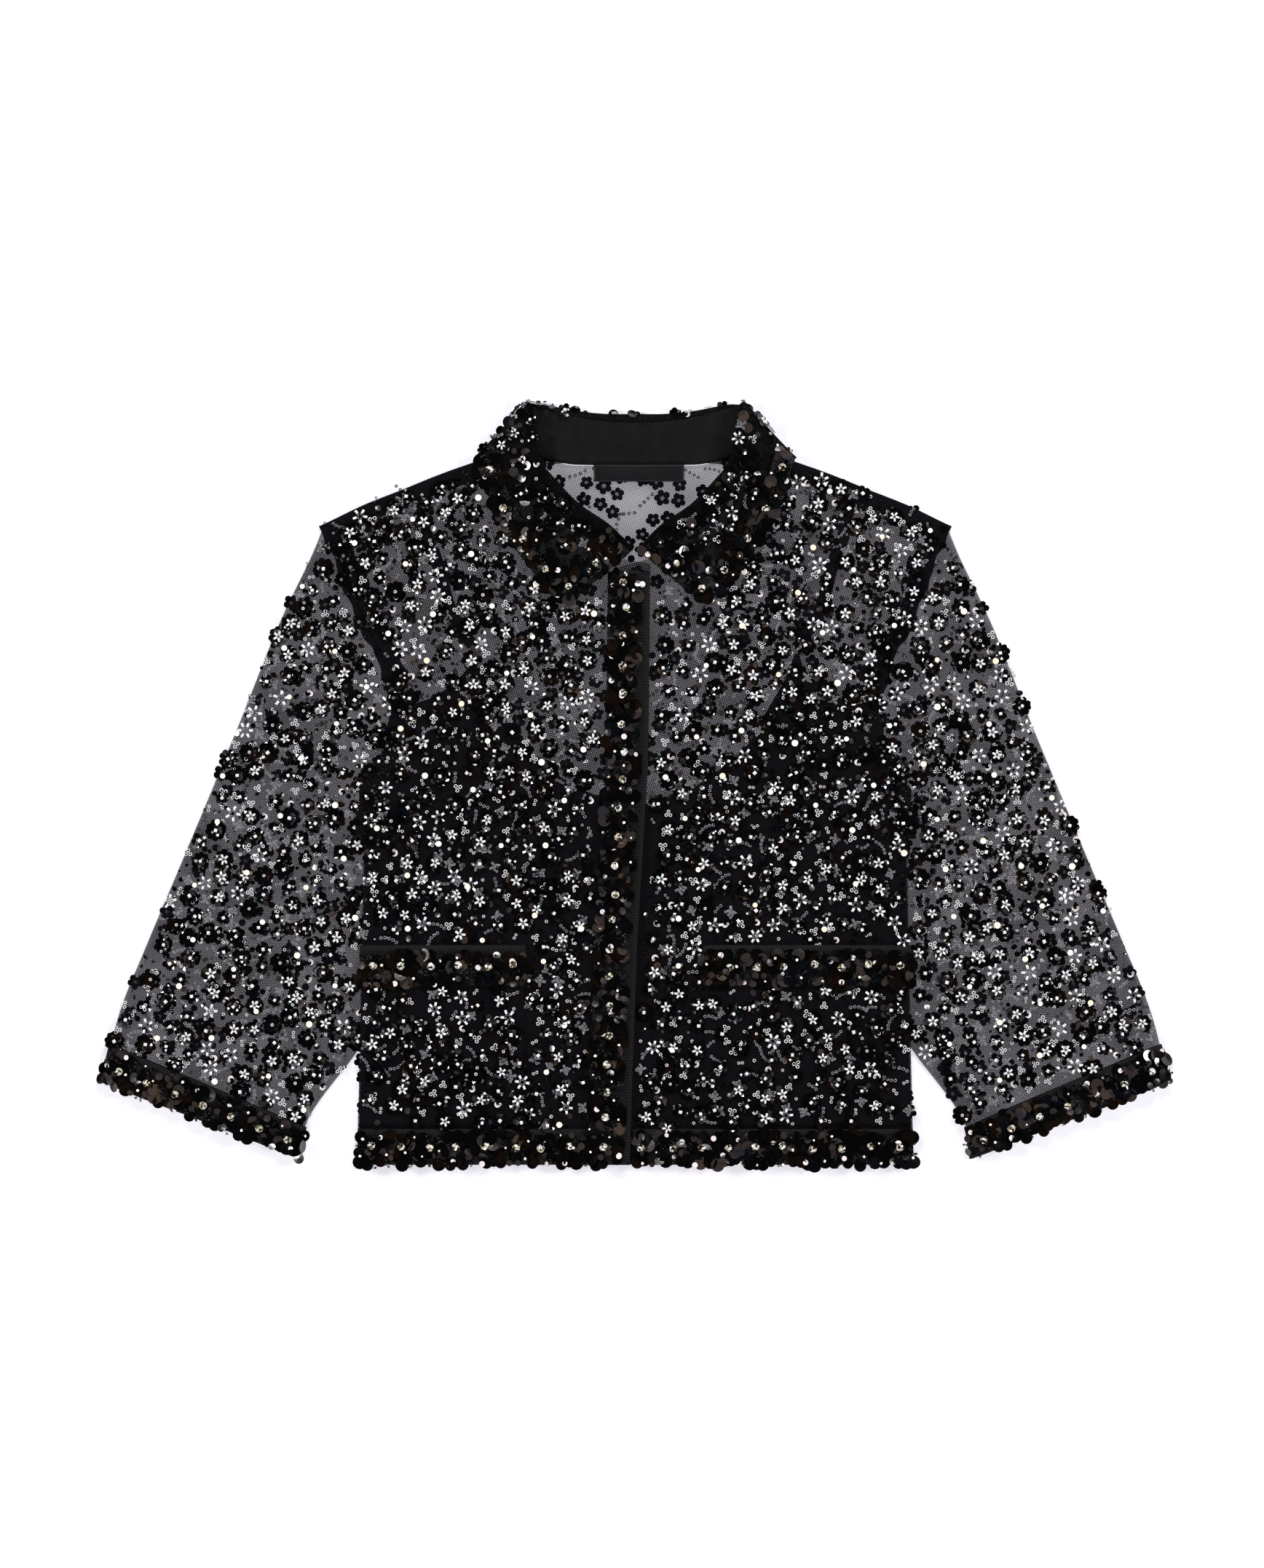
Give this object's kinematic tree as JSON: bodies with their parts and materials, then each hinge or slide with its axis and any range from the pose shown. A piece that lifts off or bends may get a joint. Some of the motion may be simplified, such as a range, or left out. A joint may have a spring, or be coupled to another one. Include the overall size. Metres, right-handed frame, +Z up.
{
  "type": "blouse",
  "caption": "Cropped sheer beaded net blouse with shirt collar, three-quarter sleeves, patch pockets and a camisole lining, laid flat with the front up.",
  "frame": {"origin": "on the surface it lies on, under the middle of its bounding box", "axes": "+X towards the viewer's right (the wearer's left), +Y from the hem to the neck, +Z up from the surface, out of the blouse's front"},
  "size_m": [0.8098, 0.5774, 0.0142],
  "materials": {
    "net": "sheer net with black sequins and silver beads",
    "lining": "matt crepe",
    "band": "matt",
    "trim": "grosgrain ribbon under glossy black sequins and clear stones",
    "label": "satin",
    "stud": "gloss"
  },
  "bodies": {
    "root": {"back": "net", "front_left": "net", "front_right": "net", "lining_front_right": "lining", "lining_strap_right": "lining", "lining_front_left": "lining", "lining_strap_left": "lining", "sleeve_right": "net", "cuff_trim_right": "trim", "sleeve_left": "net", "cuff_trim_left": "trim", "hem_trim_front_right": "trim", "pocket_right": "net", "pocket_trim_right": "trim", "hem_trim_front_left": "trim", "pocket_left": "net", "pocket_trim_left": "trim", "front_trim": "trim", "hem_trim_back": "trim", "collar_fall": "net", "collar_inner_band": "band", "collar_trim_right": "trim", "collar_trim_left": "trim", "neck_label": "label", "press_stud_top": "stud", "press_stud_bottom": "stud"}
  },
  "joints": []
}
